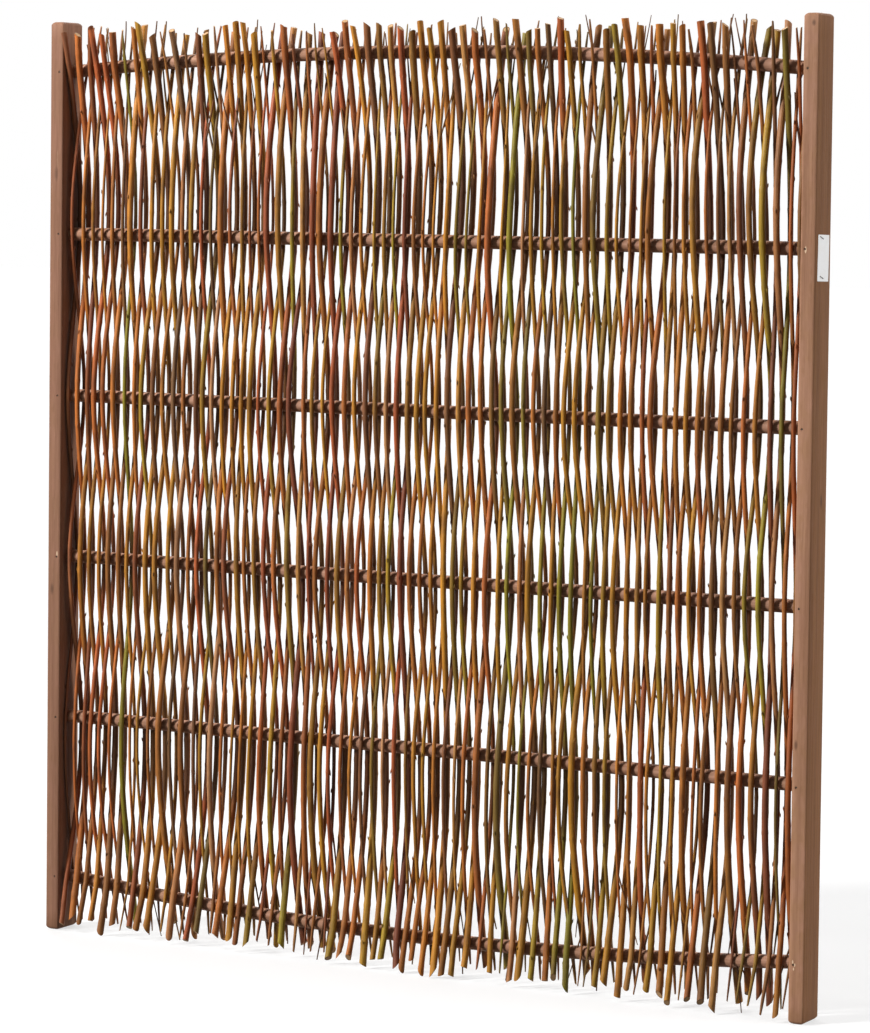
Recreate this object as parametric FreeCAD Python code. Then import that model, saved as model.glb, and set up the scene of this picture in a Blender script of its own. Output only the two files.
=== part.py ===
import FreeCAD, Part
import math
import os
import random

# Woven willow hurdle: two posts, round rails let into them, and upright willow
# rods woven in front of one rail and behind the next.
# Millimetres. +X is to the right seen from the front, -Y faces the front and
# +Z is up. The origin is on the ground, midway between the posts.
# Round pieces are lofted from polygons that have the area of the true circle.

# Posts, planed timber
panel_width = 1100.0        # over the outer faces of both posts
post_height = 1206.0
post_width = 20.0           # along X
post_depth = 45.0           # along Y
post_edge_bevel = 1.8       # along the four long edges
post_end_bevel = 4.0        # round the top and the foot

# Rails, round bars with both ends in blind mortises
rail_count = 6
rail_diameter = 17.0
rail_top_inset = 65.0       # from the top of a post to the axis of the top rail's ends
rail_foot_inset = 71.0      # from the foot of a post to the axis of the bottom rail's ends
top_rail_rise = 23.0        # at mid-width, above its ends
bottom_rail_drop = 26.0     # at mid-width, below its ends
mortise_depth = 12.0
mortise_clearance = 0.2     # all round the rail
rail_end_gap = 0.3          # from the rail's end to the floor of its mortise
rail_sides = 12
rail_bow_runs = 6           # straight runs in a bowed rail

# Brads, one through the front of the post into each rail end
brad_diameter = 2.4
brad_length = 28.0
brad_sides = 6

# Willow rods
rod_butt_diameter = 8.4     # at the thick end
rod_tip_diameter = 4.0      # at the thin end
rod_butt_spread = 0.15      # how far a thick end may be thicker or thinner, as a share
rod_tip_spread = 0.35       # the same for a thin end
rod_swap_share = 0.25       # share of neighbouring pairs set the other way up
rod_sway = 2.5              # how far a rod may lean aside at a rail
rod_gap = 1.35              # mean gap between neighbours where they cross
rod_side_clearance = 0.2    # least gap between neighbours where they cross
rod_seat_clearance = 0.25   # from a rod to the rails that it bears on
rod_post_gap = 1.0          # from the outermost rods to the posts
rod_top_trim = 3.0          # from the longest rods to the top of the posts
rod_bottom_trim = 5.0       # from the longest rods to the ground
rod_end_scatter = 16.0      # how much shorter an end may be cut
rod_sides = 6
rod_group_count = 47        # nodes that the rods are shared out to
weave_seed = 11

# Worked out from the sizes above
x_axis = FreeCAD.Vector(1, 0, 0)
y_axis = FreeCAD.Vector(0, 1, 0)
z_axis = FreeCAD.Vector(0, 0, 1)
inner_width = panel_width - 2 * post_width
inner_half = inner_width / 2
post_front = -post_depth / 2
rail_pitch = (post_height - rail_top_inset - rail_foot_inset) / (rail_count - 1)
rail_reach = inner_half + mortise_depth - rail_end_gap
brad_offset = inner_half + mortise_depth / 2


def corner_radius(diameter, sides):
    """From the middle to a corner of a polygon with the area of a circle."""
    step = 2 * math.pi / sides
    return diameter / 2 * math.sqrt(step / math.sin(step))


def flat_radius(diameter, sides):
    """From the middle to a flat side of the same polygon."""
    return corner_radius(diameter, sides) * math.cos(math.pi / sides)


def polygon(centre, diameter, sides, first, second):
    """Outline of a round piece in the plane of two axes, with a flat side towards the first."""
    step = 2 * math.pi / sides
    radius = corner_radius(diameter, sides)
    corners = []
    for number in range(sides + 1):
        angle = step * (number + 0.5)
        corners.append(centre + (first * math.cos(angle) + second * math.sin(angle)) * radius)
    return Part.makePolygon(corners)


def loft(outlines):
    """Solid with straight sides from each outline to the next."""
    return Part.makeLoft(outlines, True, True)


def along(start, end, share):
    return start + (end - start) * share


def rail_name(level):
    if level == 0:
        return "bottom_rail"
    if level == rail_count - 1:
        return "top_rail"
    return "rail_%d" % (level + 1)


def rail_rise(level):
    """How far the middle of a rail is above its ends."""
    if level == 0:
        return -bottom_rail_drop
    if level == rail_count - 1:
        return top_rail_rise
    return 0.0


def rail_point(level, x):
    """Point on a rail's axis: a straight line, or an arc that meets the posts at the rail's height."""
    z = rail_foot_inset + level * rail_pitch
    rise = rail_rise(level)
    if rise:
        radius = (inner_half ** 2 + rise ** 2) / (2 * abs(rise))
        fall = radius - math.sqrt(radius ** 2 - x ** 2)
        z += rise - math.copysign(fall, rise)
    return FreeCAD.Vector(x, 0, z)


def rail_axis(level):
    """Points along a rail from its left end to its right end."""
    runs = rail_bow_runs if rail_rise(level) else 1
    return [rail_point(level, rail_reach * (2 * step / runs - 1)) for step in range(runs + 1)]


def make_rail(level):
    rail = loft([polygon(point, rail_diameter, rail_sides, y_axis, z_axis) for point in rail_axis(level)])
    for side in (-1, 1):
        rail = rail.cut(make_brad(level, side))
    return rail


def make_mortise(level, side):
    """Blind hole in a post, in line with the last run of the rail that it takes."""
    points = rail_axis(level)
    inside, end = points[1::-1] if side < 0 else points[-2:]
    run = end.x - inside.x
    mouth = along(inside, end, (side * (inner_half - rail_diameter) - inside.x) / run)
    floor = along(inside, end, (side * (inner_half + mortise_depth) - inside.x) / run)
    bore = rail_diameter + 2 * mortise_clearance
    return loft([polygon(point, bore, rail_sides, y_axis, z_axis) for point in (mouth, floor)])


def make_brad(level, side):
    """Headless brad, flush with the front of the post."""
    head = rail_point(level, side * brad_offset) + y_axis * post_front
    point = head + y_axis * brad_length
    return loft([polygon(end, brad_diameter, brad_sides, x_axis, z_axis) for end in (head, point)])


def post_outline(middle_x, z, inset):
    """Level outline of a post with its four corners bevelled."""
    half_x = post_width / 2 - inset
    half_y = post_depth / 2 - inset
    corners = []
    for turn_x, turn_y in ((1, -1), (1, 1), (-1, 1), (-1, -1)):
        on_x = FreeCAD.Vector(middle_x + turn_x * half_x, turn_y * (half_y - post_edge_bevel), z)
        on_y = FreeCAD.Vector(middle_x + turn_x * (half_x - post_edge_bevel), turn_y * half_y, z)
        corners += [on_y, on_x] if turn_x * turn_y < 0 else [on_x, on_y]
    return Part.makePolygon(corners + corners[:1])


def make_post(side):
    middle_x = side * (panel_width - post_width) / 2
    post = loft([
        post_outline(middle_x, 0, post_end_bevel),
        post_outline(middle_x, post_end_bevel, 0),
        post_outline(middle_x, post_height - post_end_bevel, 0),
        post_outline(middle_x, post_height, post_end_bevel),
    ])
    for level in range(rail_count):
        post = post.cut(make_mortise(level, side))
        post = post.cut(make_brad(level, side))
    return post


class Rod:
    """One tapered willow rod, cut to length, thick end up or down."""

    def __init__(self, index, butt_up, chance):
        self.index = index
        self.butt_up = butt_up
        self.butt_diameter = rod_butt_diameter * chance.uniform(1 - rod_butt_spread, 1 + rod_butt_spread)
        self.tip_diameter = rod_tip_diameter * chance.uniform(1 - rod_tip_spread, 1 + rod_tip_spread)
        self.top = post_height - rod_top_trim - chance.uniform(0, rod_end_scatter)
        self.bottom = rod_bottom_trim + chance.uniform(0, rod_end_scatter)
        self.sway = chance.uniform(-rod_sway, rod_sway)
        self.places = []

    def diameter(self, z):
        share = (z - self.bottom) / (self.top - self.bottom)
        from_butt = 1 - share if self.butt_up else share
        return self.butt_diameter + (self.tip_diameter - self.butt_diameter) * from_butt

    def side(self, level):
        """Which side of a rail the rod passes: -1 in front, 1 behind."""
        return -1 if (self.index + level) % 2 else 1

    def bearing(self, level):
        """Middle of the rod where it bears on a rail."""
        point = rail_point(level, self.places[level] + self.side(level) * self.sway)
        reach = flat_radius(rail_diameter, rail_sides) + corner_radius(self.diameter(point.z), rod_sides)
        reach += rod_seat_clearance
        slant = math.hypot(1, 2 * reach / rail_pitch)
        return point + y_axis * (self.side(level) * reach * slant)


def place_rods(rods, chance):
    """Set the rods side by side at each rail, packed by their thickness there."""
    steady_gaps = [chance.random() for rod in rods[1:]]
    for level in range(rail_count):
        z = rail_foot_inset + level * rail_pitch
        thickness = [rod.diameter(z) for rod in rods]
        gaps = [steady + chance.random() for steady in steady_gaps]
        slack = inner_width - 2 * rod_post_gap - sum(thickness) - rod_side_clearance * len(gaps)
        x = -inner_half + rod_post_gap + thickness[0] / 2
        rods[0].places.append(x)
        for rod, gap, before, after in zip(rods[1:], gaps, thickness, thickness[1:]):
            x += (before + after) / 2 + rod_side_clearance + slack * gap / sum(gaps)
            rod.places.append(x)


def make_rod(rod):
    """Straight runs from rail to rail, with the free ends in line past the outer rails."""
    bearings = [rod.bearing(level) for level in range(rail_count)]
    low_run = bearings[0] - bearings[1]
    high_run = bearings[-1] - bearings[-2]
    foot = bearings[1] + low_run * ((rod.bottom - bearings[1].z) / low_run.z)
    head = bearings[-2] + high_run * ((rod.top - bearings[-2].z) / high_run.z)
    bends = [foot] + bearings[1:-1] + [head]
    return loft([polygon(bend, rod.diameter(bend.z), rod_sides, x_axis, y_axis) for bend in bends])


def make_rods():
    chance = random.Random(weave_seed)
    rod_pitch = (rod_butt_diameter + rod_tip_diameter) / 2 + rod_gap
    rod_count = int((inner_width - 2 * rod_post_gap) / rod_pitch)
    swaps = [chance.random() < rod_swap_share for pair in range(rod_count // 2 + 1)]
    rods = [Rod(index, (index % 2 == 0) != swaps[index // 2], chance) for index in range(rod_count)]
    rods[0].sway = 0
    rods[-1].sway = 0
    place_rods(rods, chance)
    return [make_rod(rod) for rod in rods]


def export(name, solids):
    shape = solids[0] if len(solids) == 1 else Part.Compound(solids)
    shape.exportStep("parts/%s.step" % name)


os.makedirs("parts", exist_ok=True)

for hand, side in (("left", -1), ("right", 1)):
    export(hand + "_post", [make_post(side)])
    export(hand + "_brads", [make_brad(level, side) for level in range(rail_count)])

for level in range(rail_count):
    export(rail_name(level), [make_rail(level)])

rod_solids = make_rods()
for group in range(rod_group_count):
    first = group * len(rod_solids) // rod_group_count
    past_last = (group + 1) * len(rod_solids) // rod_group_count
    export("willow_rods_%02d" % (group + 1), rod_solids[first:past_last])
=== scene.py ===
import math
import random

import bmesh
import bpy
import numpy as np
from mathutils import Matrix, Vector, noise


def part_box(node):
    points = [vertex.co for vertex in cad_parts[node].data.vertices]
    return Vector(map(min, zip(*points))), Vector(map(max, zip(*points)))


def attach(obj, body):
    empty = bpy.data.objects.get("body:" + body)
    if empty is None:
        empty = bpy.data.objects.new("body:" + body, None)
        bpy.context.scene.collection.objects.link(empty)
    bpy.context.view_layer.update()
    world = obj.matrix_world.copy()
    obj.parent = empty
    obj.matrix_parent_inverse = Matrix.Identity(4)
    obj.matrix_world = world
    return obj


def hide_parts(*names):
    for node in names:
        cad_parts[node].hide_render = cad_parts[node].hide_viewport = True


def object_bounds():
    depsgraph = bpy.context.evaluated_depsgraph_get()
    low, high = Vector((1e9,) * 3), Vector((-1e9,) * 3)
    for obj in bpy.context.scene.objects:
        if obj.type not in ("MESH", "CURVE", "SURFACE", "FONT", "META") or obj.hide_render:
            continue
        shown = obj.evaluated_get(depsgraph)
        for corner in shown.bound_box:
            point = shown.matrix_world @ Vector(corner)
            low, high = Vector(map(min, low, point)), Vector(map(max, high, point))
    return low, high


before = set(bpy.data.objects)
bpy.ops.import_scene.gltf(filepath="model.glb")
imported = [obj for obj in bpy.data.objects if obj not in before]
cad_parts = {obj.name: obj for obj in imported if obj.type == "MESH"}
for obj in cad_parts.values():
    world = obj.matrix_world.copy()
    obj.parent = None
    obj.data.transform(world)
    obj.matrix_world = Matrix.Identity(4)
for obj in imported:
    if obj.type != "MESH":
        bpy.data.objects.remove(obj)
cad_low, cad_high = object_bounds()

# Sizes in metres
post_edge_round = 0.0022
post_end_round = 0.004
rail_radius = 0.0085
rail_flat = 0.0084          # from the axis to a flat of the twelve-sided solid of a rail
brad_radius = 0.0011
brad_reach = 0.014          # from the front of the post to the inner end of a nail
brad_sink = 0.0009          # from the front of the post to the head of a nail
brad_crown = 0.0003         # height of the rounded edge of a nail's head
dent_radius = 0.0016
dent_depth = 0.0012
dent_overrun = 0.001        # how far the cutter of a dent stands out of the post
weld_distance = 0.00001
rod_drift = 0.005           # how far neighbouring rods may lean aside together
drift_margin = 0.006        # from a post, where they don't
drift_fade = 0.04           # from there to where they lean freely
rod_bend = (0.0009, 0.0005)  # slow bends of a rod's own, aside and to the back
rod_crook = 0.00025
node_length = 0.0035
node_ring_step = 0.004      # from a node to the rings above and below it
first_node = (0.02, 0.06)   # from the foot of a rod
node_spacing = (0.045, 0.085)
last_node_room = 0.015      # from the last node to the head of a rod
dry_length = 0.12           # from the thin end of a rod, where the bark has dried
ground_gap = 0.0005         # least height of a rod's end
shoot_start = (0.03, 0.16)  # from the thin end of a rod
shoot_length = (0.035, 0.10)
shoot_radius = (0.0011, 0.0018)
shoot_top_room = 0.001      # how far a shoot may reach above the posts
shoot_foot_room = 0.002     # least height of a shoot's end
tag_width = 0.0325
tag_height = 0.0555
tag_thickness = 0.0003
tag_corner = 0.0012
tag_edge = 0.0002           # how far the rim of the tag is rounded off
tag_place = (0.0003, 0.9162)  # middle of the tag, to the back and up
staple_length = 0.010
staple_radius = 0.0004
staple_places = ((-0.0060, 0.0242), (-0.0049, -0.0229))  # from the middle of the tag

# Distance of a rod from the middle plane of the panel, where the painted shade near the rails starts and
# where it is full
painted_shade_depth = (0.0082, 0.0110)
painted_shade_fade = 0.035          # past the outer rails

# Signs of the two sides and starting angle of each corner of a rounded rectangle
corner_turns = ((1, 1, 0), (-1, 1, 90), (-1, -1, 180), (1, -1, 270))

# Axis that the grain of the rails and of the posts follows
x_axis = 0
z_axis = 2

# Counts, shares and angles
post_corner_runs = 4
post_runs = 60
post_end_profile = ((0, 1), (0.225, 0.55), (0.55, 0.225), (1, 0))  # rise and inset of the rounded ends
post_waviness = 0.005
post_sharp_angle = 35       # degrees between faces, past which an edge isn't smoothed
rail_runs = 80
rail_sides = 20
rail_unevenness = 0.012
brad_sides = 12
dent_sides = 10
nail_roundness = (0.85, 1.15)
rod_solid_sides = 6
hexagon_corner = 1.09964    # corner of the six-sided solid of a rod, for a round rod of radius 1
rod_sides = 12
rod_rings = 90
rod_fullness = 0.97         # thickness between the nodes, as a share of the solid's
rod_unevenness = 0.04
rod_brightness = (0.79, 1.22)
tip_taper = ((0, 0.006, 0.05), (0.5, 0.72, 1.0))  # thickness at distances from the thin end
node_swelling = 0.11
foot_lean = (0.02, 0.05)    # mean and spread of how far the free ends lean aside
head_lean = (0, 0.045)
foot_slope = (0.3, 1.5)     # slant of the cut ends
head_slope = (0.05, 0.9)
# Most that the bark is darkened by the painted shade near the rails
painted_shade_share = 0.84
bare_node_share = 0.4       # nodes that have lost their bud
bud_profile = ((0.75, -0.001), (0.95, 0.001), (1.12, 0.003), (1.2, 0.0055))
bud_radii = (0.0006, 0.0011, 0.0009, 0.0002)
shoot_runs = 7
shoot_aside = (0.10, 0.34)
shoot_forward = (-0.10, 0.10)
shoot_curl = (-0.5, 0.1)
twig_sides = 6
tag_corner_runs = 3
tag_turn = -1.5             # degrees
staple_turn = -19
staple_sides = 8

rail_names = ["bottom_rail", "rail_2", "rail_3", "rail_4", "rail_5", "top_rail"]
rail_bows = [-1, 0, 0, 0, 0, 1]
rod_nodes = sorted(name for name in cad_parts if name.startswith("willow_rods"))
post_inner_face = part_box("right_post")[0].x


def linear(red, green, blue):
    """Linear colour of an 8-bit screen colour."""
    shades = []
    for value in (red, green, blue):
        value /= 255
        shades.append(value / 12.92 if value <= 0.04045 else ((value + 0.055) / 1.055) ** 2.4)
    return tuple(shades)


# Barks of the rods, and how often each is found from the left to the right of the panel
barks = {
    "ochre": linear(174, 120, 32),
    "amber": linear(166, 99, 36),
    "rust": linear(160, 79, 37),
    "maroon": linear(122, 63, 36),
    "olive": linear(133, 120, 26),
    "umber": linear(104, 71, 35),
    "tan": linear(162, 115, 75),
}
bark_shares = {
    "ochre": (0.08, 0.22, 0.31),
    "amber": (0.22, 0.22, 0.24),
    "rust": (0.44, 0.22, 0.12),
    "maroon": (0.13, 0.09, 0.06),
    "olive": (0.03, 0.17, 0.21),
    "umber": (0.06, 0.07, 0.06),
    "tan": (0.05, 0.06, 0.06),
}
# Dark brown painted into the bark as the shade of the rods and rails where they cross
painted_shade_colour = linear(74, 42, 18)


# Materials

class Graph:
    """Node tree of one material, built call by call."""

    def __init__(self, name):
        self.material = bpy.data.materials.new(name)
        self.material.use_nodes = True
        self.tree = self.material.node_tree
        self.tree.nodes.clear()
        self.output = self.tree.nodes.new("ShaderNodeOutputMaterial")

    def add(self, kind, sockets=None, **settings):
        made = self.tree.nodes.new("ShaderNode" + kind)
        for name, value in settings.items():
            setattr(made, name, value)
        for name, value in (sockets or {}).items():
            self.feed(made.inputs[name], value)
        return made

    def feed(self, socket, value):
        if isinstance(value, bpy.types.NodeSocket):
            self.tree.links.new(value, socket)
        else:
            socket.default_value = value

    def math(self, operation, first, second=0.0):
        made = self.add("Math", {0: first, 1: second}, operation=operation)
        return made.outputs[0]

    def mix(self, factor, first, second, blend="MIX"):
        made = self.add("Mix", data_type="RGBA", blend_type=blend)
        self.feed(made.inputs[0], factor)
        self.feed(made.inputs[6], first)
        self.feed(made.inputs[7], second)
        return made.outputs[2]

    def ramp(self, value, *stops):
        made = self.add("ValToRGB", {0: value})
        elements = made.color_ramp.elements
        while len(elements) < len(stops):
            elements.new(0.5)
        for element, (place, shade) in zip(elements, stops):
            element.position = place
            element.color = (shade, shade, shade, 1) if isinstance(shade, float) else (*shade, 1)
        return made.outputs[0]

    def noise(self, place, scale, detail=3.0, rough=0.5):
        sockets = {"Vector": place, "Scale": scale, "Detail": detail, "Roughness": rough}
        return self.add("TexNoise", sockets).outputs["Fac"]

    def stretch(self, place, scale, shift=(0, 0, 0)):
        return self.add("Mapping", {"Vector": place, "Scale": scale, "Location": shift}).outputs[0]

    def surface(self, colour, roughness, height, depth, **fixed):
        bump = self.add("Bump", {"Height": height, "Strength": 0.8, "Distance": depth})
        shader = self.add("BsdfPrincipled", {"Base Color": colour, "Roughness": roughness})
        self.feed(shader.inputs["Normal"], bump.outputs[0])
        for name, value in fixed.items():
            shader.inputs[name.replace("_", " ")].default_value = value
        self.tree.links.new(shader.outputs[0], self.output.inputs[0])
        return self.material


def make_bark():
    """Bark in the colour of each rod, with streaks, dark blotches and pale pores."""
    graph = Graph("willow_bark")
    # The bark's colour, with the painted shade near the rails in it
    colour = graph.add("Attribute", attribute_name="bark_and_painted_shade").outputs["Color"]
    place = graph.add("Attribute", attribute_name="bark_place").outputs["Vector"]
    streaks = graph.noise(graph.stretch(place, (900, 900, 22)), 1.0, 4.0, 0.6)
    blotches = graph.noise(graph.stretch(place, (90, 90, 30)), 1.0, 3.0, 0.55)
    specks = graph.noise(graph.stretch(place, (1500, 1500, 420)), 1.0, 2.0, 0.5)
    lenticels = graph.ramp(specks, (0.66, 0.0), (0.72, 1.0))
    lightness = graph.ramp(streaks, (0.28, 0.62), (0.5, 0.98), (0.72, 1.22))
    shaded = graph.mix(1.0, colour, lightness, "MULTIPLY")
    darkened = graph.ramp(blotches, (0.46, 0.0), (0.7, 0.55))
    shaded = graph.mix(darkened, shaded, (*linear(74, 44, 28), 1))
    pale = graph.math("MULTIPLY", lenticels, 0.2)
    shaded = graph.mix(pale, shaded, (*linear(190, 150, 100), 1))
    height = graph.math("ADD", streaks, graph.math("MULTIPLY", lenticels, 0.4))
    roughness = graph.ramp(blotches, (0.3, 0.42), (0.7, 0.62))
    return graph.surface(shaded, roughness, height, 0.0006, Specular_IOR_Level=0.26)


def make_cut_wood():
    """End grain: dark pith, pale wood and a rim of bark."""
    graph = Graph("cut_willow")
    place = graph.add("Attribute", attribute_name="bark_place").outputs["Vector"]
    flat = graph.add("SeparateXYZ", {0: place})
    out = graph.math("SQRT", graph.math(
        "ADD", graph.math("POWER", flat.outputs[0], 2.0), graph.math("POWER", flat.outputs[1], 2.0)))
    grain = graph.noise(graph.stretch(place, (1400, 1400, 300)), 1.0, 3.0)
    rings = graph.math("ADD", graph.math("MULTIPLY", out, 210.0), graph.math("MULTIPLY", grain, 0.16))
    colour = graph.ramp(rings, (0.08, linear(92, 62, 40)), (0.2, linear(196, 158, 112)),
                        (0.62, linear(182, 140, 94)), (0.95, linear(104, 74, 44)))
    return graph.surface(colour, 0.75, grain, 0.0004)


def spots(graph, place, grain_axis, middles):
    """Share of long spots at given middles, each with its width and its length along the grain."""
    mark = 0.0
    for middle, width, length in middles:
        shrink = [1 / width, 1 / width, 1 / width]
        shrink[grain_axis] = 1 / length
        shift = [-value * scale for value, scale in zip(middle, shrink)]
        away = graph.add("VectorMath", {0: graph.stretch(place, shrink, shift)}, operation="LENGTH")
        mark = graph.math("MAXIMUM", mark, graph.math("SUBTRACT", 1.0, away.outputs["Value"]))
    return mark


def make_timber(name, grain_axis, pink, olive, dark, pith, knots=(), torn=(), shaded_side=0):
    """Planed, stained softwood with soft growth bands round a pith line, and fine fibres along the grain.

    It may have knots, and pale torn fibres beside the nails. The side face towards +X or -X, by the sign
    given last, has painted shade: it is darkened and yellowed in its colour.
    """
    graph = Graph(name)
    place = graph.add("TexCoord").outputs["Object"]
    fine = [850.0, 850.0, 850.0]
    broad = [110.0, 110.0, 110.0]
    slow = [1.0, 1.0, 1.0]
    fine[grain_axis] = 16.0
    broad[grain_axis] = 3.0
    slow[grain_axis] = 0.03
    fibres = graph.noise(graph.stretch(place, fine), 1.0, 4.0, 0.65)
    clouds = graph.noise(graph.stretch(place, broad), 1.0, 3.0, 0.55)
    patches = graph.noise(place, 38.0, 3.0, 0.6)
    bent = graph.add("VectorMath", operation="ADD")
    graph.feed(bent.inputs[0], graph.stretch(place, slow, pith))
    graph.feed(bent.inputs[1], graph.add("CombineXYZ", {
        0: graph.math("MULTIPLY", clouds, 0.012),
        1: graph.math("MULTIPLY", patches, 0.010),
        2: graph.math("MULTIPLY", clouds, 0.012)}).outputs[0])
    bands = {"Vector": bent.outputs[0], "Scale": 62.0, "Distortion": 2.0, "Detail": 2.0}
    wave = graph.add("TexWave", bands, wave_type="RINGS", rings_direction="XYZ"[grain_axis])
    growth = wave.outputs["Fac"]
    tone = graph.math("ADD", graph.math("MULTIPLY", growth, 0.06), graph.math("MULTIPLY", fibres, 0.25))
    tone = graph.math("ADD", tone, graph.math("MULTIPLY", clouds, 0.64))
    colour = graph.mix(graph.ramp(patches, (0.36, 0.0), (0.64, 1.0)), (*pink, 1), (*olive, 1))
    colour = graph.mix(graph.ramp(tone, (0.36, 0.0), (0.66, 1.0)), colour, (*dark, 1))
    ragged = graph.math("MULTIPLY", graph.math("SUBTRACT", fibres, 0.5), 0.9)
    if knots:
        mark = graph.math("ADD", spots(graph, place, grain_axis, knots), ragged)
        colour = graph.mix(graph.ramp(mark, (0.05, 0.0), (0.7, 0.8)), colour, (*linear(86, 56, 38), 1))
    if torn:
        mark = graph.math("ADD", spots(graph, place, grain_axis, torn), ragged)
        colour = graph.mix(graph.ramp(mark, (0.12, 0.0), (0.3, 0.85)), colour, (*linear(214, 184, 152), 1))
    # Painted shade: the side face towards the given sign is darkened and yellowed in its colour
    if shaded_side:
        facing = graph.add("SeparateXYZ", {0: graph.add("TexCoord").outputs["Normal"]}).outputs[0]
        painted_side_shade = graph.ramp(graph.math("MULTIPLY", facing, float(shaded_side)), (0.4, 0.0), (0.9, 1.0))
        colour = graph.mix(painted_side_shade, colour, (0.58, 0.485, 0.30, 1), "MULTIPLY")
    height = graph.math("ADD", graph.math("MULTIPLY", fibres, 0.8), graph.math("MULTIPLY", growth, 0.2))
    roughness = graph.ramp(fibres, (0.3, 0.62), (0.7, 0.8))
    return graph.surface(colour, roughness, height, 0.0005, Specular_IOR_Level=0.3)


def make_steel(name, shade):
    graph = Graph(name)
    place = graph.add("TexCoord").outputs["Object"]
    scratches = graph.noise(graph.stretch(place, (2600, 2600, 2600)), 1.0, 3.0)
    tarnish = graph.ramp(scratches, (0.4, 0.0), (0.68, 0.8))
    colour = graph.mix(tarnish, (*shade, 1), (*linear(74, 50, 36), 1))
    roughness = graph.ramp(scratches, (0.3, 0.35), (0.7, 0.6))
    return graph.surface(colour, roughness, scratches, 0.0002, Metallic=0.85)


def make_card():
    graph = Graph("blank_card")
    place = graph.add("TexCoord").outputs["Object"]
    fibres = graph.noise(graph.stretch(place, (800, 800, 500)), 1.0, 4.0, 0.6)
    clouds = graph.noise(graph.stretch(place, (70, 70, 50)), 1.0, 2.0)
    flecks = graph.ramp(fibres, (0.35, 0.0), (0.75, 0.35))
    colour = graph.mix(flecks, (*linear(249, 249, 248), 1), (*linear(228, 230, 232), 1))
    yellowed = graph.ramp(clouds, (0.5, 0.0), (0.8, 0.3))
    colour = graph.mix(yellowed, colour, (*linear(238, 234, 226), 1))
    return graph.surface(colour, 0.5, fibres, 0.0002)


# Meshes

class Builder:
    """Gathers tubes into one mesh, with the bark's colour and place at each corner; the colour may hold
    painted shade.
    """

    def __init__(self):
        self.points = []
        self.faces = []
        self.slots = []
        self.smooth = []
        self.colours = []
        self.places = []

    def add_ring(self, ring, colours, places):
        first = len(self.points)
        self.points += ring
        self.colours += colours
        self.places += places
        return first

    def tube(self, rings, colours=None, places=None, cap_slot=0):
        """Skin over rings of equal length, closed at both ends."""
        sides = len(rings[0])
        colours = colours or [[(1.0, 1.0, 1.0)] * sides] * len(rings)
        places = places or rings
        starts = [self.add_ring(*ring) for ring in zip(rings, colours, places)]
        for low, high in zip(starts, starts[1:]):
            for side in range(sides):
                after = (side + 1) % sides
                self.face([low + side, low + after, high + after, high + side], 0, True)
        for end, turn in ((0, -1), (-1, 1)):
            first = self.add_ring(rings[end], colours[end], places[end])
            middle = sum((Vector(point) for point in rings[end]), Vector()) / sides
            centre = sum((Vector(point) for point in places[end]), Vector()) / sides
            hub = self.add_ring([tuple(middle)], colours[end][:1], [tuple(centre)])
            for side in range(sides):
                after = (side + 1) % sides
                corners = [first + side, first + after, hub]
                self.face(corners if turn > 0 else corners[::-1], cap_slot, False)

    def face(self, corners, slot, smooth):
        self.faces.append(corners)
        self.slots.append(slot)
        self.smooth.append(smooth)

    def mesh(self, name, *materials):
        mesh = bpy.data.meshes.new(name)
        mesh.from_pydata(self.points, [], self.faces)
        for material in materials:
            mesh.materials.append(material)
        mesh.polygons.foreach_set("material_index", self.slots)
        mesh.polygons.foreach_set("use_smooth", self.smooth)
        colour = mesh.color_attributes.new("bark_and_painted_shade", "FLOAT_COLOR", "POINT")
        colour.data.foreach_set("color", [part for shade in self.colours for part in (*shade, 1.0)])
        place = mesh.attributes.new("bark_place", "FLOAT_VECTOR", "POINT")
        place.data.foreach_set("vector", [part for point in self.places for part in point])
        mesh.update()
        return mesh

    def finish(self, name, *materials):
        piece = bpy.data.objects.new(name, self.mesh(name, *materials))
        bpy.context.collection.objects.link(piece)
        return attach(piece, "root")


def circle(sides, turn=0.0):
    angles = [2 * math.pi * side / sides + turn for side in range(sides)]
    return [(math.cos(angle), math.sin(angle)) for angle in angles]


# Posts

def post_ring(low, high, inset, z, shift):
    """Rounded rectangle at one height, with the faint waviness of planed timber."""
    middle = (low + high) / 2
    half = (high - low) / 2
    ring = []
    for turn_x, turn_y, start in corner_turns:
        for step in range(post_corner_runs + 1):
            angle = math.radians(start + 90 * step / post_corner_runs)
            x = turn_x * (half.x - post_edge_round - inset) + post_edge_round * math.cos(angle)
            y = turn_y * (half.y - post_edge_round - inset) + post_edge_round * math.sin(angle)
            planed = 1 - post_waviness * abs(noise.noise(Vector((turn_x + shift, turn_y, z * 9))))
            ring.append((middle.x + x * planed, middle.y + y * planed, z))
    return ring


def make_post(node, material):
    low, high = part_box(node)
    levels = [(rise * post_end_round, inset * post_end_round) for rise, inset in post_end_profile]
    rings = [post_ring(low, high, inset, low.z + rise, low.x) for rise, inset in levels]
    for step in range(1, post_runs):
        z = low.z + post_end_round + (high.z - low.z - 2 * post_end_round) * step / post_runs
        rings.append(post_ring(low, high, 0, z, low.x))
    rings += [post_ring(low, high, inset, high.z - rise, low.x) for rise, inset in levels[::-1]]
    builder = Builder()
    builder.tube(rings)
    piece = builder.finish(node + "_timber", material)
    punch_dents(piece, pin_places(node.replace("post", "brads")))
    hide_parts(node)


# Rails

def rail_height(level, x):
    """Height of a rail's axis."""
    low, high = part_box(rail_names[level])
    bow = rail_bows[level]
    if not bow:
        return (low.z + high.z) / 2
    crown = high.z - rail_flat if bow > 0 else low.z + rail_flat
    end = low.z + rail_flat if bow > 0 else high.z - rail_flat
    return crown + (end - crown) * (x / high.x) ** 2


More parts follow.
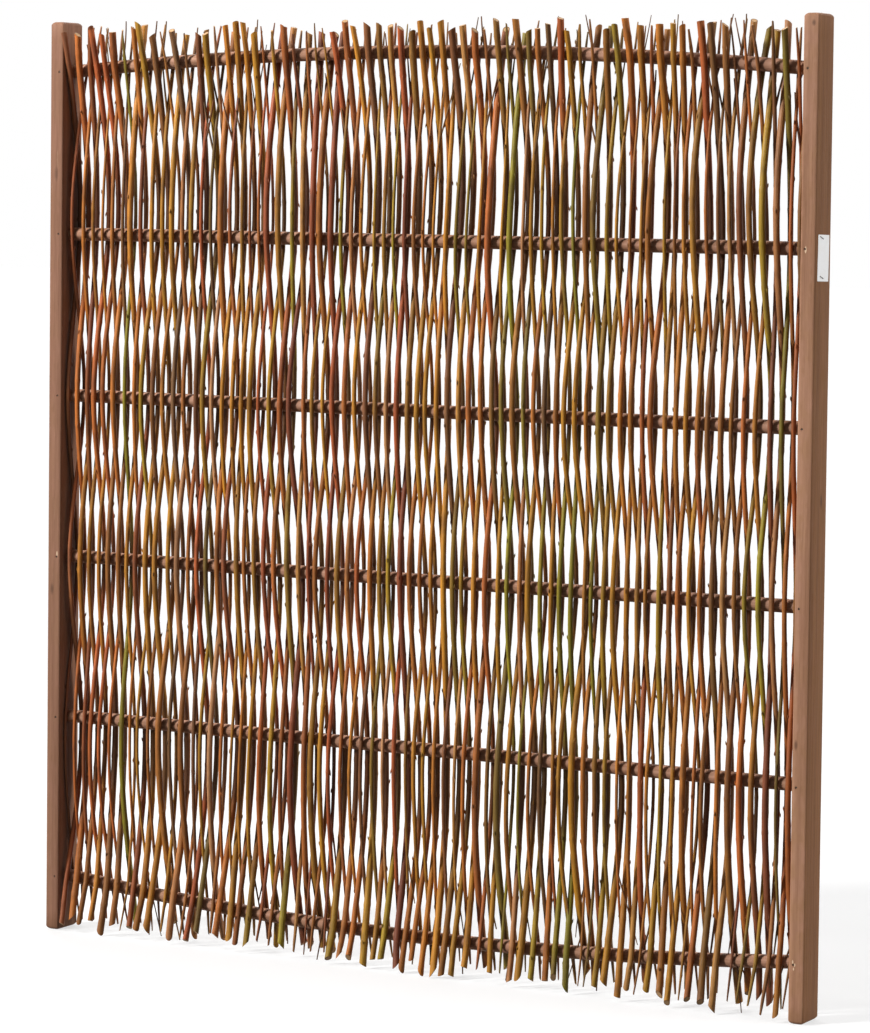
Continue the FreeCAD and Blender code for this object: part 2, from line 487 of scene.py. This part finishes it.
def make_rail(level, material):
    low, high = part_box(rail_names[level])
    rings = []
    for step in range(rail_runs + 1):
        x = low.x + (high.x - low.x) * step / rail_runs
        radius = rail_radius * (1 + rail_unevenness * noise.noise(Vector((x * 12, level * 7.3, 0))))
        z = rail_height(level, x)
        rings.append([(x, radius * across, z + radius * up) for across, up in circle(rail_sides)])
    builder = Builder()
    builder.tube(rings)
    piece = builder.finish(rail_names[level] + "_bar", material)
    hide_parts(rail_names[level])


# Brads

def pin_places(node):
    """Middle of each nail's head in the front of a post."""
    low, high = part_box(node)
    x = (low.x + high.x) / 2
    return [Vector((x, low.y, rail_height(level, x))) for level in range(len(rail_names))]


def lathe(middle, profile, sides, chance):
    """Rings round a line along Y, as depths and radii from a middle, a little out of round."""
    spread = [chance.uniform(*nail_roundness) for side in range(sides)]
    return [[(middle.x + radius * share * across, middle.y + deep, middle.z + radius * share * up)
             for (across, up), share in zip(circle(sides), spread)] for deep, radius in profile]


def weld(mesh):
    """Join the corners that lie on each other, so that the skin is closed."""
    skin = bmesh.new()
    skin.from_mesh(mesh)
    bmesh.ops.remove_doubles(skin, verts=skin.verts, dist=weld_distance)
    skin.to_mesh(mesh)
    skin.free()


def punch_dents(post, places):
    """Sink a small dent into the front of a post at each nail."""
    chance = random.Random(3)
    builder = Builder()
    profile = [(dent_depth, dent_radius * 0.8), (-dent_overrun, dent_radius * 1.1)]
    for middle in places:
        builder.tube(lathe(middle, profile, dent_sides, chance))
    mesh = builder.mesh("dents")
    weld(mesh)
    weld(post.data)
    cutter = bpy.data.objects.new("dents", mesh)
    bpy.context.collection.objects.link(cutter)
    cut = post.modifiers.new("dents", "BOOLEAN")
    cut.object = cutter
    cut.solver = "EXACT"
    whole = post.data
    graph = bpy.context.evaluated_depsgraph_get()
    post.data = bpy.data.meshes.new_from_object(post.evaluated_get(graph))
    post.modifiers.clear()
    post.data.set_sharp_from_angle(angle=math.radians(post_sharp_angle))
    bpy.data.objects.remove(cutter)
    bpy.data.meshes.remove(mesh)
    bpy.data.meshes.remove(whole)


def make_brads(node, steel):
    """Nails with their heads punched below the face of the post."""
    chance = random.Random(8)
    builder = Builder()
    head = (brad_sink, brad_radius * 0.8)
    profile = [(brad_reach, brad_radius), (brad_sink + brad_crown, brad_radius), head]
    for middle in pin_places(node):
        builder.tube(lathe(middle, profile, brad_sides, chance))
    piece = builder.finish(node + "_pins", steel)
    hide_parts(node)


# Willow rods

def rod_sections(node):
    """Sections of each rod of a node from foot to head, as rows of x, y, z and radius."""
    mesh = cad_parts[node].data
    keys = [tuple(round(value, 5) for value in vertex.co) for vertex in mesh.vertices]
    owner = {key: key for key in keys}

    def root(key):
        while owner[key] != key:
            key = owner[key]
        return key

    for face in mesh.polygons:
        first, *others = [root(keys[index]) for index in face.vertices]
        for other in others:
            owner[root(other)] = root(first)
    rods = {}
    for key in sorted(owner):
        rods.setdefault(root(key), []).append(key)
    sections = []
    for corners in rods.values():
        corners.sort(key=lambda corner: corner[2])
        rings = np.array(corners).reshape(-1, rod_solid_sides, 3)
        centres = rings.mean(axis=1)
        radii = np.linalg.norm(rings - centres[:, None, :], axis=2).mean(axis=1) / hexagon_corner
        sections.append(np.column_stack([centres, radii]))
    return sorted(sections, key=lambda rows: rows[:, 0].mean())


def smooth_curve(knots, values):
    """Bend of a springy rod: a cubic curve through values at rising knots, straight past both ends."""
    count = len(knots)
    steps = np.diff(knots)
    slopes = np.diff(values) / steps
    matrix = np.eye(count)
    target = np.zeros(count)
    for index in range(1, count - 1):
        before, after = steps[index - 1], steps[index]
        matrix[index, index - 1:index + 2] = before, 2 * (before + after), after
        target[index] = 6 * (slopes[index] - slopes[index - 1])
    bends = np.linalg.solve(matrix, target)
    start_slope = slopes[0] - steps[0] * bends[1] / 6
    end_slope = slopes[-1] + steps[-1] * bends[-2] / 6

    def curve(z):
        run = np.clip(np.searchsorted(knots, z) - 1, 0, count - 2)
        step = steps[run]
        share = np.clip((z - knots[run]) / step, 0, 1)
        rest = 1 - share
        inside = rest * values[run] + share * values[run + 1]
        inside += ((rest ** 3 - rest) * bends[run] + (share ** 3 - share) * bends[run + 1]) * step ** 2 / 6
        return inside + np.minimum(z - knots[0], 0) * start_slope + np.maximum(z - knots[-1], 0) * end_slope

    return curve


def pick_bark(x, chance):
    """Bark for a rod at x, by the shares of the left, middle and right of the panel."""
    across = x / cad_high.x
    left = max(0.0, -across)
    right = max(0.0, across)
    shares = {}
    for name, (at_left, at_middle, at_right) in bark_shares.items():
        shares[name] = at_left * left + at_right * right + at_middle * (1 - left - right)
    return chance.choices(list(shares), list(shares.values()))[0]


def drift(x, z):
    """How far the weave leans aside at a place, shared by neighbouring rods and none at the posts."""
    room = post_inner_face - abs(x)
    free = min(1.0, max(0.0, room - drift_margin) / drift_fade)
    return rod_drift * noise.noise(Vector((x * 8, 2.2, z * 4.5))) * free


class Rod:
    """Smooth path, thickness and bark of one willow rod."""

    def __init__(self, rows, number, chance):
        self.seed = number * 3.17
        self.rows = rows
        xs, ys, zs = rows[:, 0], rows[:, 1], rows[:, 2]
        self.low_z = rail_height(0, xs[0])
        self.high_z = rail_height(len(rail_names) - 1, xs[-1])
        knots = np.array([self.low_z, *zs[1:-1], self.high_z])
        self.path_x = smooth_curve(knots, np.interp(knots, zs, xs))
        self.path_y = smooth_curve(knots, np.interp(knots, zs, ys))
        self.foot = zs[0]
        self.head = zs[-1]
        self.tip_up = rows[-1, 3] < rows[0, 3]
        self.foot_lean = chance.gauss(*foot_lean)
        self.head_lean = chance.gauss(*head_lean)
        self.bark = pick_bark(xs.mean(), chance)
        self.second_bark = pick_bark(xs.mean(), chance)
        self.brightness = chance.uniform(*rod_brightness)
        self.nodes = []
        z = self.foot + chance.uniform(*first_node)
        while z < self.head - last_node_room:
            self.nodes.append(z)
            z += chance.uniform(*node_spacing)

    def middle(self, z):
        """Middle of the rod at each height, with its own slow bends and slight crooks."""
        x = self.path_x(z) + np.minimum(z - self.low_z, 0) * self.foot_lean
        x = x + np.maximum(z - self.high_z, 0) * self.head_lean
        bend_x = [noise.noise(Vector((self.seed, 3.3, value * 5))) for value in z]
        bend_y = [noise.noise(Vector((self.seed, 8.8, value * 6))) for value in z]
        crook = [noise.noise(Vector((self.seed, 6.1, value * 21))) for value in z]
        x = x + rod_bend[0] * np.array(bend_x) + rod_crook * np.array(crook)
        x = x + np.array([drift(*place) for place in zip(x, z)])
        return x, self.path_y(z) + rod_bend[1] * np.array(bend_y)

    def shade_near_rails(self, y, z):
        """Share of painted shade on the side that faces a rail: most where the rod passes one, none in
        mid-span.
        """
        past = max(self.low_z - z, z - self.high_z, 0.0)
        return np.interp(abs(y), painted_shade_depth, [0, painted_shade_share]) * max(0.0, 1 - past / painted_shade_fade)

    def tip_distance(self, z):
        return self.head - z if self.tip_up else z - self.foot

    def radius(self, z):
        """Half the thickness: swollen at the nodes and drawn out towards the thin end."""
        radius = rod_fullness * np.interp(z, self.rows[:, 2], self.rows[:, 3])
        for node in self.nodes:
            radius = radius * (1 + node_swelling * np.exp(-((z - node) / node_length) ** 2))
        return radius * np.interp(self.tip_distance(z), *tip_taper)

    def colour(self, z):
        """Bark at a height: it changes slowly along the rod and is dry towards the thin end."""
        share = 0.5 + 0.9 * noise.noise(Vector((self.seed, 1.7, z * 3.1)))
        share = min(1.0, max(0.0, share)) * 0.7
        light = self.brightness * (1 + 0.22 * noise.noise(Vector((self.seed, 5.1, z * 9))))
        dry = 0.5 * max(0.0, 1 - self.tip_distance(z) / dry_length)
        first, second = barks[self.bark], barks[self.second_bark]
        bark = [a + (b - a) * share for a, b in zip(first, second)]
        return tuple((a + (b - a) * dry) * light for a, b in zip(bark, barks["umber"]))


def add_rod(builder, rod, chance):
    beside_nodes = [node + step for node in rod.nodes for step in (-node_ring_step, 0, node_ring_step)]
    levels = np.unique(np.concatenate([np.linspace(rod.foot, rod.head, rod_rings), beside_nodes]))
    xs, ys = rod.middle(levels)
    radii = rod.radius(levels)
    outline = circle(rod_sides, chance.uniform(0, 6))
    cuts = {0: (chance.uniform(0, 6.28), chance.uniform(*foot_slope)),
            len(levels) - 1: (chance.uniform(0, 6.28), chance.uniform(*head_slope))}
    rings = []
    places = []
    shades = []
    for index, (x, y, z, radius) in enumerate(zip(xs, ys, levels, radii)):
        radius *= 1 + rod_unevenness * noise.noise(Vector((rod.seed, 9.1, z * 45)))
        turn, slope = cuts.get(index, (0, 0))
        ring = []
        place = []
        shade = []
        unshaded = rod.colour(z)
        rail_shade = rod.shade_near_rails(y, z)
        for across, deep in outline:
            lift = slope * radius * (across * math.cos(turn) + deep * math.sin(turn))
            ring.append((x + radius * across, y + radius * deep, max(z + lift, ground_gap)))
            place.append((radius * across, radius * deep, z + rod.seed))
            # Painted shade: full on the side that faces the rail, none on the far side
            share = rail_shade * min(1.0, max(0.0, 0.35 - 1.4 * deep * math.copysign(1, y)))
            shade.append(tuple(a + (b - a) * share for a, b in zip(unshaded, painted_shade_colour)))
        rings.append(ring)
        places.append(place)
        shades.append(shade)
    builder.tube(rings, shades, places, cap_slot=1)


def add_twig(builder, path, radii, colour):
    """Thin round twig or bud along a path."""
    rings = []
    for index, (point, radius) in enumerate(zip(path, radii)):
        ahead = (path[min(index + 1, len(path) - 1)] - path[max(index - 1, 0)]).normalized()
        across = ahead.cross(Vector((0, 1, 0))).normalized()
        beside = ahead.cross(across)
        rings.append([tuple(point + (across * a + beside * b) * radius) for a, b in circle(twig_sides)])
    builder.tube(rings, [[colour] * twig_sides] * len(rings))


def add_buds(builder, rod, chance):
    """Buds at the nodes, on alternate sides of the rod."""
    turn = chance.uniform(0, 6.28)
    up = 1 if rod.tip_up else -1
    for node in rod.nodes:
        turn += math.pi + chance.gauss(0, 0.5)
        if chance.random() < bare_node_share:
            continue
        x, y = (value[0] for value in rod.middle(np.array([node])))
        radius = rod.radius(np.array([node]))[0]
        out = Vector((math.cos(turn), math.sin(turn), 0))
        middle = Vector((x, y, node))
        path = [middle + out * radius * share + Vector((0, 0, up * rise)) for share, rise in bud_profile]
        shade = tuple(part * 0.7 for part in rod.colour(node))
        add_twig(builder, path, bud_radii, shade)


def add_shoots(builder, rod, chance):
    """Side shoots near the thin end of a rod, thin and dry."""
    up = 1 if rod.tip_up else -1
    end = rod.head if rod.tip_up else rod.foot
    for shoot in range(chance.choice((0, 0, 1, 1, 2))):
        start = end - up * chance.uniform(*shoot_start)
        room = cad_high.z + shoot_top_room - start if rod.tip_up else start - shoot_foot_room
        length = min(chance.uniform(*shoot_length), room)
        aside = chance.choice((-1, 1)) * chance.uniform(*shoot_aside)
        forward = chance.uniform(*shoot_forward)
        curl = chance.uniform(*shoot_curl)
        x, y = (value[0] for value in rod.middle(np.array([start])))
        path = []
        for step in range(shoot_runs + 1):
            run = length * step / shoot_runs
            bend = 1 + curl * step / shoot_runs
            path.append(Vector((x + aside * run * bend, y + forward * run, start + up * run)))
        thick = np.clip(rod.radius(np.array([start]))[0] * 0.75, *shoot_radius)
        radii = [thick * (1 - 0.5 * step / shoot_runs) for step in range(shoot_runs + 1)]
        shade = tuple(a * 0.35 + b * 0.3 for a, b in zip(barks["umber"], rod.colour(start)))
        add_twig(builder, path, radii, shade)


def make_rods(bark, cut_wood):
    chance = random.Random(5)
    number = 0
    for node in rod_nodes:
        builder = Builder()
        for rows in rod_sections(node):
            rod = Rod(rows, number, chance)
            add_rod(builder, rod, chance)
            add_buds(builder, rod, chance)
            add_shoots(builder, rod, chance)
            number += 1
        piece = builder.finish(node + "_bark", bark, cut_wood)
        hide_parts(node)


# Blank tag with its two staples, on the outer side of the right post

def make_tag(card, wire):
    outer_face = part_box("right_post")[1].x
    middle = Vector((outer_face, *tag_place))
    turn = Matrix.Rotation(math.radians(tag_turn), 3, "X")
    builder = Builder()
    rings = []
    for out, inset in ((0, 0.0), (tag_thickness * 0.7, 0.0), (tag_thickness, tag_edge)):
        ring = []
        for turn_y, turn_z, start in corner_turns:
            for step in range(tag_corner_runs + 1):
                angle = math.radians(start + 90 * step / tag_corner_runs)
                y = turn_y * (tag_width / 2 - tag_corner) + (tag_corner - inset) * math.cos(angle)
                z = turn_z * (tag_height / 2 - tag_corner) + (tag_corner - inset) * math.sin(angle)
                ring.append(tuple(middle + turn @ Vector((out, y, z))))
        rings.append(ring)
    builder.tube(rings)
    builder.finish("blank_tag", card)
    builder = Builder()
    slant = math.radians(staple_turn)
    direction = Vector((0, math.cos(slant), math.sin(slant)))
    across = Vector((0, -direction.z, direction.y))
    outline = circle(staple_sides)
    bends = ((-0.5, -0.002), (-0.5, 0.0001), (-0.46, 0.0005), (0.46, 0.0005), (0.5, 0.0001), (0.5, -0.002))
    for y, z in staple_places:
        centre = middle + Vector((tag_thickness, y, z))
        path = [centre + direction * (share * staple_length) + Vector((out, 0, 0)) for share, out in bends]
        rings = []
        for index, point in enumerate(path):
            before = path[max(index - 1, 0)]
            after = path[min(index + 1, len(path) - 1)]
            ahead = (after - before).normalized()
            up = across.cross(ahead).normalized()
            rings.append([tuple(point + (across * a + up * b) * staple_radius) for a, b in outline])
        builder.tube(rings)
    builder.finish("tag_staples", wire)


# Floor, light and camera

floor_size = 60
floor_glow = 0.62           # own light of the floor where it is seen
floor_scatter = (0.36, 0.36, 0.36, 1)  # what it adds there outside the panel's shadow
floor_bounce = (0.12, 0.12, 0.118, 1)  # what it throws back onto the panel
world_light = 0.05          # all round, on the panel


def make_stage():
    graph = Graph("pale_floor")
    path = graph.add("LightPath").outputs
    seen = graph.math("MAXIMUM", path["Is Glossy Ray"], path["Is Transmission Ray"])
    seen = graph.math("MAXIMUM", path["Is Camera Ray"], seen)
    shown = graph.add("AddShader")
    glow = graph.add("Emission", {"Color": (1, 1, 1, 1), "Strength": floor_glow})
    graph.feed(shown.inputs[0], glow.outputs[0])
    scatter = graph.add("BsdfDiffuse", {"Color": floor_scatter})
    graph.feed(shown.inputs[1], scatter.outputs[0])
    lit = graph.add("BsdfDiffuse", {"Color": floor_bounce})
    mixed = graph.add("MixShader", {0: seen, 1: lit.outputs[0], 2: shown.outputs[0]})
    graph.feed(graph.output.inputs[0], mixed.outputs[0])
    bpy.ops.mesh.primitive_plane_add(size=floor_size, location=(0, 0, 0))
    floor = bpy.context.object
    floor.name = "floor"
    floor.data.materials.append(graph.material)

    world = bpy.data.worlds.new("studio")
    bpy.context.scene.world = world
    world.use_nodes = True
    tree = world.node_tree
    tree.nodes.clear()
    path = tree.nodes.new("ShaderNodeLightPath").outputs
    shown = None
    for name in ("Is Camera Ray", "Is Glossy Ray", "Is Transmission Ray"):
        joined = tree.nodes.new("ShaderNodeMath")
        joined.operation = "MAXIMUM"
        tree.links.new(path[name], joined.inputs[0])
        if shown is None:
            joined.inputs[1].default_value = 0
        else:
            tree.links.new(shown, joined.inputs[1])
        shown = joined.outputs[0]
    strength = tree.nodes.new("ShaderNodeMapRange")
    tree.links.new(shown, strength.inputs["Value"])
    strength.inputs["To Min"].default_value = world_light
    strength.inputs["To Max"].default_value = 1.0
    background = tree.nodes.new("ShaderNodeBackground")
    background.inputs["Color"].default_value = (1, 1, 1, 1)
    tree.links.new(strength.outputs[0], background.inputs["Strength"])
    output = tree.nodes.new("ShaderNodeOutputWorld")
    tree.links.new(background.outputs[0], output.inputs[0])


def add_sun(name, azimuth, elevation, strength, softness):
    """Far soft lamp, seen from the panel at an azimuth from the front and a height above the floor."""
    lamp = bpy.data.lights.new(name, "SUN")
    lamp.energy = strength
    lamp.angle = math.radians(softness)
    holder = bpy.data.objects.new(name, lamp)
    turn, lift = math.radians(azimuth), math.radians(elevation)
    towards = Vector((math.sin(turn) * math.cos(lift), -math.cos(turn) * math.cos(lift), math.sin(lift)))
    holder.rotation_euler = towards.to_track_quat("Z", "Y").to_euler()
    bpy.context.collection.objects.link(holder)


def add_softbox(name, place, aim, power, size):
    """Near soft lamp, stronger on what is close to it."""
    lamp = bpy.data.lights.new(name, "AREA")
    lamp.energy = power
    lamp.size = size
    holder = bpy.data.objects.new(name, lamp)
    holder.location = place
    holder.rotation_euler = (Vector(place) - Vector(aim)).to_track_quat("Z", "Y").to_euler()
    bpy.context.collection.objects.link(holder)


def make_camera():
    azimuth = math.radians(29.251)
    pitch = math.radians(2.998)
    roll = math.radians(0.647)
    place = Vector((2.3593, -4.1699, 1.0030))
    level = Vector((-math.sin(azimuth), math.cos(azimuth), 0))
    forward = level * math.cos(pitch) - Vector((0, 0, math.sin(pitch)))
    right = Vector((math.cos(azimuth), math.sin(azimuth), 0))
    up = right.cross(forward)
    turned_right = right * math.cos(roll) + up * math.sin(roll)
    turned_up = up * math.cos(roll) - right * math.sin(roll)
    lens = bpy.data.cameras.new("camera")
    lens.lens = 132.74
    lens.shift_y = -0.1321
    lens.sensor_width = 36
    lens.clip_end = 100
    camera = bpy.data.objects.new("camera", lens)
    turn = Matrix((turned_right, turned_up, -forward)).transposed().to_4x4()
    camera.matrix_world = Matrix.Translation(place) @ turn
    bpy.context.collection.objects.link(camera)
    bpy.context.scene.camera = camera


# Knots and torn fibres of the posts: middle, width, and length along the grain
left_knots = [
    ((-0.540, -0.0225, 1.006), 0.004, 0.012),
    ((-0.530, 0.004, 0.991), 0.007, 0.016),
    ((-0.543, -0.0225, 0.456), 0.004, 0.010),
]
left_torn = [
    ((-0.5352, -0.0225, 0.5030), 0.0013, 0.0042),
]
right_knots = [
    ((0.5431, -0.0225, 1.1941), 0.0035, 0.005),
    ((0.550, 0.006, 0.626), 0.004, 0.012),
    ((0.535, -0.0225, 0.336), 0.003, 0.008),
]
right_torn = [
    ((0.5372, -0.0225, 0.9262), 0.0016, 0.0052),
    ((0.5354, -0.0225, 0.0752), 0.0012, 0.0030),
    ((0.5382, -0.0225, 0.0716), 0.0010, 0.0026),
    ((0.5366, -0.0225, 0.0668), 0.0010, 0.0022),
]

# The whole panel
bark = make_bark()
cut_wood = make_cut_wood()
left_tones = (linear(138, 97, 75), linear(132, 93, 68), linear(108, 70, 49))
right_tones = (linear(162, 118, 93), linear(156, 114, 83), linear(126, 86, 60))
rail_tones = (linear(174, 130, 107), linear(160, 119, 94), linear(126, 86, 60))
left_pith = (0.57, 0.05, 0.0)
right_pith = (-0.52, 0.06, 0.0)
rail_pith = (0.0, 0.03, -0.6)
left_timber = make_timber(
    "left_post_timber", z_axis, *left_tones, left_pith, left_knots, left_torn, shaded_side=-1)
right_timber = make_timber(
    "right_post_timber", z_axis, *right_tones, right_pith, right_knots, right_torn, shaded_side=1)
rail_timber = make_timber("rail_timber", x_axis, *rail_tones, rail_pith)
steel = make_steel("brad_steel", linear(84, 75, 67))
wire = make_steel("staple_wire", linear(70, 66, 62))

make_post("left_post", left_timber)
make_post("right_post", right_timber)
for level in range(len(rail_names)):
    make_rail(level, rail_timber)
make_brads("left_brads", steel)
make_brads("right_brads", steel)
make_rods(bark, cut_wood)
make_tag(make_card(), wire)
make_stage()
add_sun("key", azimuth=-43, elevation=22, strength=3.55, softness=8)
add_sun("fill", azimuth=102, elevation=24, strength=2.35, softness=34)
add_sun("back", azimuth=-150, elevation=35, strength=2.0, softness=50)
add_softbox("top", place=(-1.2, -1.0, 2.0), aim=(0, 0, 0.9), power=28, size=0.5)
make_camera()
bpy.context.scene.view_settings.view_transform = "Standard"
